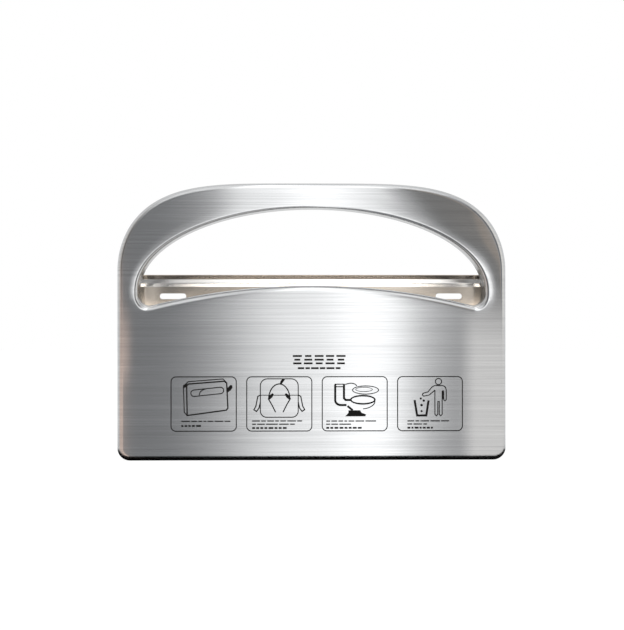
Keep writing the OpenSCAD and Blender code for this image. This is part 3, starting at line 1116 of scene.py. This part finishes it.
@dataclass
class Studio:
    """A pale floor, a white backdrop, soft cards around the object, and the camera."""

    width_px: int = 624
    camera_x: float = -25.0
    camera_y: float = -1300.0
    camera_z: float = 146.7
    focal_px: float = 1218.8
    sensor_w: float = 36.0
    near_clip: float = 0.05
    far_clip: float = 50.0
    pitch: float = 0.125
    yaw: float = -1.14
    roll: float = 0.03
    paper_whole: float = 0.02  # how far round to the front the steel sees the paper behind, as a cosine
    paper_gone: float = 0.26
    floor_size: float = 8.0
    floor_z: float = -0.3
    floor_white: float = 1.12
    floor_white_share: float = 0.86  # the rest of what the camera sees is the floor with the shadow on it
    cards: tuple[Card, ...] = CARDS
    near_cards: tuple[NearCard, ...] = NEAR_CARDS

    def build(self) -> None:
        """Set up the whole studio."""
        self.place_camera()
        self.paint_world()
        self.lay_floor()
        for card in self.near_cards:
            self.set_near(card)
        bpy.context.scene.view_settings.view_transform = "Standard"

    def place_camera(self) -> None:
        """Put the camera where the photograph was taken from."""
        data = bpy.data.cameras.new("camera")
        data.sensor_fit = "HORIZONTAL"
        data.sensor_width = self.sensor_w
        data.lens = self.focal_px * self.sensor_w / self.width_px
        data.clip_start, data.clip_end = self.near_clip, self.far_clip
        camera = bpy.data.objects.new("camera", data)
        bpy.context.scene.collection.objects.link(camera)
        camera.location = at(self.camera_x, self.camera_y, self.camera_z)
        level = Euler((math.radians(90 + self.pitch), 0, math.radians(self.yaw)), "XYZ").to_matrix()
        roll = Euler((0, 0, math.radians(-self.roll)), "XYZ").to_matrix()
        camera.rotation_euler = (level @ roll).to_euler()
        bpy.context.scene.camera = camera

    def paint_world(self) -> None:
        """Paint the room that the steel reflects, and the white that the camera sees behind the object."""
        world = bpy.data.worlds.new("studio")
        bpy.context.scene.world = world
        world.use_nodes = True
        tree = world.node_tree
        tree.nodes.clear()
        ways = add_node(tree, "ShaderNodeTexCoord").outputs["Generated"]
        axes = add_node(tree, "ShaderNodeSeparateXYZ", {0: ways})
        x, y, z = (axes.outputs[name] for name in "XYZ")
        toward = add_node(tree, "ShaderNodeMath", {0: y, 1: -1.0}, operation="MULTIPLY").outputs[0]
        turn = add_node(tree, "ShaderNodeMath", {0: x, 1: toward}, operation="ARCTAN2").outputs[0]
        azimuth = add_node(tree, "ShaderNodeMath", {0: turn}, operation="DEGREES").outputs[0]
        rise = add_node(tree, "ShaderNodeMath", {0: z}, operation="ARCSINE").outputs[0]
        elevation = add_node(tree, "ShaderNodeMath", {0: rise}, operation="DEGREES").outputs[0]
        colour: Colour | Socket = linear(Backdrop.ROOM.value)
        for card in self.cards:
            colour = self.hang(tree, card, azimuth, elevation, colour)
        # The white paper behind the object, seen by the camera all round and by the steel where it is
        rays = add_node(tree, "ShaderNodeLightPath")
        either = {0: rays.outputs["Is Glossy Ray"], 1: rays.outputs["Is Transmission Ray"]}
        mirrored = add_node(tree, "ShaderNodeMath", either, operation="MAXIMUM").outputs[0]
        span = {"Value": toward, "From Min": self.paper_gone, "From Max": self.paper_whole}
        behind = add_node(tree, "ShaderNodeMapRange", span, interpolation_type="SMOOTHSTEP").outputs[0]
        seers = {0: mirrored, 1: behind, 2: rays.outputs["Is Camera Ray"]}
        paper = add_node(tree, "ShaderNodeMath", seers, operation="MULTIPLY_ADD", use_clamp=True).outputs[0]
        tones = {0: paper, 6: colour, 7: linear(Backdrop.PAPER.value)}
        seen = add_node(tree, "ShaderNodeMix", tones, data_type="RGBA").outputs[2]
        light = add_node(tree, "ShaderNodeBackground", {"Color": seen, "Strength": 1.0})
        add_node(tree, "ShaderNodeOutputWorld", {"Surface": light.outputs[0]})

    @staticmethod
    def hang(tree: Tree, card: Card, azimuth: Socket, elevation: Socket, behind: Colour | Socket) -> Socket:
        """Hang one card in front of what is there.

        Args:
            tree: The world's node tree.
            card: The card.
            azimuth: Direction to the right of straight ahead, in degrees.
            elevation: Direction above level, in degrees.
            behind: Colour of what the card covers.

        Returns:
            The colour with the card in it.
        """
        turned = add_node(
            tree, "ShaderNodeMath", {0: azimuth, 1: card.azimuth - 180, 2: card.azimuth + 180}, operation="WRAP"
        ).outputs[0]
        mask = soft_patch(
            tree,
            (turned, card.azimuth, card.half_width - card.edge, card.half_width + card.edge),
            (elevation, card.elevation, card.half_height - card.edge_up, card.half_height + card.edge_up),
        )
        shine = Vector(linear(card.colour)[:3]) * card.strength
        tones = {0: mask, 6: behind, 7: (*shine, 1.0)}
        return add_node(tree, "ShaderNodeMix", tones, data_type="RGBA").outputs[2]

    def lay_floor(self) -> None:
        """Lay the pale floor that the object stands on, white to the camera but for the object's shadow."""
        deselect_all()
        bpy.ops.mesh.primitive_plane_add(size=self.floor_size, location=at(0, 0, self.floor_z))
        floor = bpy.context.object
        floor.name = "studio_floor"
        material, tree = new_material("pale_floor")
        matt = add_node(tree, "ShaderNodeBsdfDiffuse", {"Color": linear(Backdrop.FLOOR.value)}).outputs[0]
        glow = {"Color": linear(Backdrop.PAPER.value), "Strength": self.floor_white}
        white = add_node(tree, "ShaderNodeEmission", glow).outputs[0]
        camera = add_node(tree, "ShaderNodeLightPath").outputs["Is Camera Ray"]
        seen = {0: camera, 1: self.floor_white_share}
        share = add_node(tree, "ShaderNodeMath", seen, operation="MULTIPLY").outputs[0]
        both = add_node(tree, "ShaderNodeMixShader", {0: share, 1: matt, 2: white})
        add_node(tree, "ShaderNodeOutputMaterial", {"Surface": both.outputs[0]})
        dress(floor, material)
        floor.visible_glossy = False  # the steel sees the painted room instead

    @staticmethod
    def set_near(plan: NearCard) -> None:
        """Set up one card near the object.

        Args:
            plan: What the card is like and where it goes.
        """
        low, high = at(*plan.low), at(*plan.high)
        deselect_all()
        bpy.ops.mesh.primitive_plane_add(size=1)
        card = bpy.context.object
        card.name = plan.name
        for vertex in card.data.vertices:
            right, up = vertex.co.x > 0, vertex.co.y > 0
            vertex.co = ((high if right else low).x, (high if up else low).y, (high if up else low).z)
        material, tree = new_material(plan.name)
        light = {"Color": linear(plan.colour), "Strength": plan.strength}
        glow = add_node(tree, "ShaderNodeEmission", light).outputs[0]
        if plan.fade:
            where = add_node(tree, "ShaderNodeTexCoord").outputs["Object"]
            axes = add_node(tree, "ShaderNodeSeparateXYZ", {0: where})
            middle, half = (low + high) / 2, (high - low) / 2
            mask = soft_patch(
                tree,
                (axes.outputs["X"], middle.x, half.x - plan.fade * MM, half.x),
                (axes.outputs["Z"], middle.z, half.z - plan.fade * MM, half.z),
            )
            clear = add_node(tree, "ShaderNodeBsdfTransparent").outputs[0]
            glow = add_node(tree, "ShaderNodeMixShader", {0: mask, 1: clear, 2: glow}).outputs[0]
        add_node(tree, "ShaderNodeOutputMaterial", {"Surface": glow})
        dress(card, material)
        card.visible_camera = card.visible_diffuse = card.visible_shadow = False


def main() -> None:
    """Build and dress the dispenser, then the studio around it."""
    logging.basicConfig(level=logging.INFO, format="%(name)s: %(message)s")
    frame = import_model()
    shell_steel = BrushedSteel("brushed_stainless_steel", "#CDCECF", "#B3B4B5", dents=SHELL_DENTS).build()
    plate_steel = BrushedSteel(
        "brushed_stainless_steel_warm",
        "#C0B8AE",
        "#B0A89D",
        roughness=0.19,
        front_y=-1.0,
        dents=PLATE_DENTS,
        painted_bands=PLATE_PAINTED_LIGHT,
    ).build()
    pieces = [FrontShell(shell_steel).build(), WallPlate(plate_steel).build()]
    for piece in pieces:
        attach(piece, BODY)
    pieces += ScreenPrint(ScreenInk().build()).build(frame)
    for piece in pieces:
        LOG.info("%s: %d faces", piece.name, len(piece.data.polygons))
    Studio().build()


if __name__ == "__main__":
    main()
